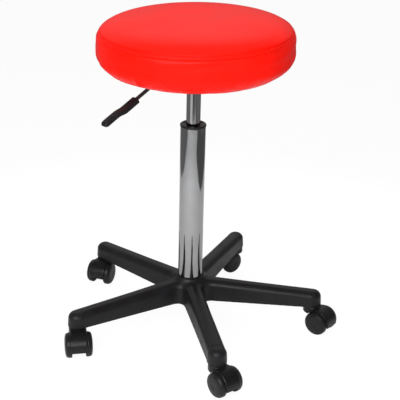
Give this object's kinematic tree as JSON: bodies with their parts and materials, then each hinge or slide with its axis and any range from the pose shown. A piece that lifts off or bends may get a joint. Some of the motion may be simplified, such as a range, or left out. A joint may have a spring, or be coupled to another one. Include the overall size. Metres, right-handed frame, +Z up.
{
  "type": "rolling stool",
  "caption": "Round padded swivel stool on a lever-controlled gas column with a star base on twin-wheel casters.",
  "frame": {"origin": "floor level on the gas column's axis", "axes": "+Z up along the column; -Y towards the front of the stool, +X to its right"},
  "size_m": [0.557, 0.5603, 0.65],
  "materials": {
    "base_nylon": "satin moulded nylon",
    "caster_nylon": "satin moulded nylon",
    "zinc_steel": "bright zinc",
    "spring_steel": "dark oiled",
    "chrome_tube": "polished",
    "end_steel": "plain",
    "ball_steel": "polished",
    "cage_brass": "plain",
    "black_plastic": "smooth",
    "black_rubber": "matt",
    "rod_chrome": "ground and polished",
    "piston_alloy": "turned",
    "tube_steel": "dark polished steel",
    "black_steel": "black enamel",
    "nut_brass": "yellow zinc",
    "plywood": "raw",
    "foam": "open cell",
    "red_leather": "satin artificial leather",
    "red_thread": "twisted",
    "black_cloth": "non-woven",
    "grip_plastic": "fine texture"
  },
  "bodies": {
    "base": {"star_base": "base_nylon", "caster_stems": "zinc_steel", "stem_rings": "spring_steel", "outer_tube": "chrome_tube", "end_plate": "end_steel", "bearing_washer": "zinc_steel", "bearing_balls": "ball_steel", "bearing_cage": "cage_brass", "guide_bush": "black_plastic"},
    "rod": {"thrust_collar": "zinc_steel", "rubber_buffer": "black_rubber", "piston_rod": "rod_chrome", "piston": "piston_alloy", "piston_seal": "black_rubber", "retaining_clip": "spring_steel"},
    "seat": {"pressure_tube": "tube_steel", "rod_guide": "black_plastic", "valve_body": "zinc_steel", "socket_tube": "black_steel", "plate_housing": "black_steel", "seat_plate": "black_steel", "plate_bolts": "zinc_steel", "plate_washers": "zinc_steel", "t_nuts": "nut_brass", "seat_board": "plywood", "foam_pad": "foam", "cover_top": "red_leather", "cover_side": "red_leather", "seam_band": "red_leather", "seam_threads": "red_thread", "dust_cloth": "black_cloth", "staples": "zinc_steel", "pivot_pin": "zinc_steel", "pivot_clip": "spring_steel"},
    "lever": {"lever_rod": "black_steel", "lever_grip": "grip_plastic"},
    "valve_pin": {"release_pin": "rod_chrome"},
    "caster_1": {"caster_1_hood": "caster_nylon", "caster_1_axle": "zinc_steel"},
    "caster_1_left": {"caster_1_wheel_left": "caster_nylon"},
    "caster_1_right": {"caster_1_wheel_right": "caster_nylon"},
    "caster_2": {"caster_2_hood": "caster_nylon", "caster_2_axle": "zinc_steel"},
    "caster_2_left": {"caster_2_wheel_left": "caster_nylon"},
    "caster_2_right": {"caster_2_wheel_right": "caster_nylon"},
    "caster_3": {"caster_3_hood": "caster_nylon", "caster_3_axle": "zinc_steel"},
    "caster_3_left": {"caster_3_wheel_left": "caster_nylon"},
    "caster_3_right": {"caster_3_wheel_right": "caster_nylon"},
    "caster_4": {"caster_4_hood": "caster_nylon", "caster_4_axle": "zinc_steel"},
    "caster_4_left": {"caster_4_wheel_left": "caster_nylon"},
    "caster_4_right": {"caster_4_wheel_right": "caster_nylon"},
    "caster_5": {"caster_5_hood": "caster_nylon", "caster_5_axle": "zinc_steel"},
    "caster_5_left": {"caster_5_wheel_left": "caster_nylon"},
    "caster_5_right": {"caster_5_wheel_right": "caster_nylon"}
  },
  "joints": [
    {"name": "seat_swivel", "type": "hinge", "parent": "base", "child": "rod", "pos_m": [0, 0, 0.3], "axis": [0, 0, 1], "continuous": true},
    {"name": "seat_height", "type": "slide", "parent": "rod", "child": "seat", "axis": [0, 0, 1], "range_m": [-0.055, 0.145]},
    {"name": "lever_lift", "type": "hinge", "parent": "seat", "child": "lever", "pos_m": [-0.01556, -0.01556, 0.5493], "axis": [-0.7071, 0.7071, 0], "range_deg": [0, 5], "stiffness_Nm_per_rad": 3, "springref_deg": -5.73},
    {"name": "pin_press", "type": "slide", "parent": "seat", "child": "valve_pin", "axis": [0, 0, 1], "range_m": [-0.0026, 0]},
    {"name": "caster_1_swivel", "type": "hinge", "parent": "base", "child": "caster_1", "pos_m": [0.05496, -0.25208, 0.045], "axis": [0, 0, 1], "continuous": true},
    {"name": "caster_1_left_roll", "type": "hinge", "parent": "caster_1", "child": "caster_1_left", "pos_m": [0.07001, -0.27204, 0.025], "axis": [0.7986, 0.6018, 0], "continuous": true},
    {"name": "caster_1_right_roll", "type": "hinge", "parent": "caster_1", "child": "caster_1_right", "pos_m": [0.07001, -0.27204, 0.025], "axis": [0.7986, 0.6018, 0], "continuous": true},
    {"name": "caster_2_swivel", "type": "hinge", "parent": "base", "child": "caster_2", "pos_m": [0.25672, -0.02562, 0.045], "axis": [0, 0, 1], "continuous": true},
    {"name": "caster_2_left_roll", "type": "hinge", "parent": "caster_2", "child": "caster_2_left", "pos_m": [0.27588, -0.04169, 0.025], "axis": [0.6428, 0.766, 0], "continuous": true},
    {"name": "caster_2_right_roll", "type": "hinge", "parent": "caster_2", "child": "caster_2_right", "pos_m": [0.27588, -0.04169, 0.025], "axis": [0.6428, 0.766, 0], "continuous": true},
    {"name": "caster_3_swivel", "type": "hinge", "parent": "base", "child": "caster_3", "pos_m": [0.1037, 0.23624, 0.045], "axis": [0, 0, 1], "continuous": true},
    {"name": "caster_3_left_roll", "type": "hinge", "parent": "caster_3", "child": "caster_3_left", "pos_m": [0.08455, 0.22017, 0.025], "axis": [0.6428, -0.766, 0], "continuous": true},
    {"name": "caster_3_right_roll", "type": "hinge", "parent": "caster_3", "child": "caster_3_right", "pos_m": [0.08455, 0.22017, 0.025], "axis": [0.6428, -0.766, 0], "continuous": true},
    {"name": "caster_4_swivel", "type": "hinge", "parent": "base", "child": "caster_4", "pos_m": [-0.19263, 0.17163, 0.045], "axis": [0, 0, 1], "continuous": true},
    {"name": "caster_4_left_roll", "type": "hinge", "parent": "caster_4", "child": "caster_4_left", "pos_m": [-0.20077, 0.14799, 0.025], "axis": [0.9455, -0.3256, 0], "continuous": true},
    {"name": "caster_4_right_roll", "type": "hinge", "parent": "caster_4", "child": "caster_4_right", "pos_m": [-0.20077, 0.14799, 0.025], "axis": [0.9455, -0.3256, 0], "continuous": true},
    {"name": "caster_5_swivel", "type": "hinge", "parent": "base", "child": "caster_5", "pos_m": [-0.22276, -0.13017, 0.045], "axis": [0, 0, 1], "continuous": true},
    {"name": "caster_5_left_roll", "type": "hinge", "parent": "caster_5", "child": "caster_5_left", "pos_m": [-0.21841, -0.15479, 0.025], "axis": [0.9848, 0.1736, 0], "continuous": true},
    {"name": "caster_5_right_roll", "type": "hinge", "parent": "caster_5", "child": "caster_5_right", "pos_m": [-0.21841, -0.15479, 0.025], "axis": [0.9848, 0.1736, 0], "continuous": true}
  ],
  "couplings": [
    {"joint": "pin_press", "follows": "lever_lift", "m_per_rad": -0.025}
  ]
}
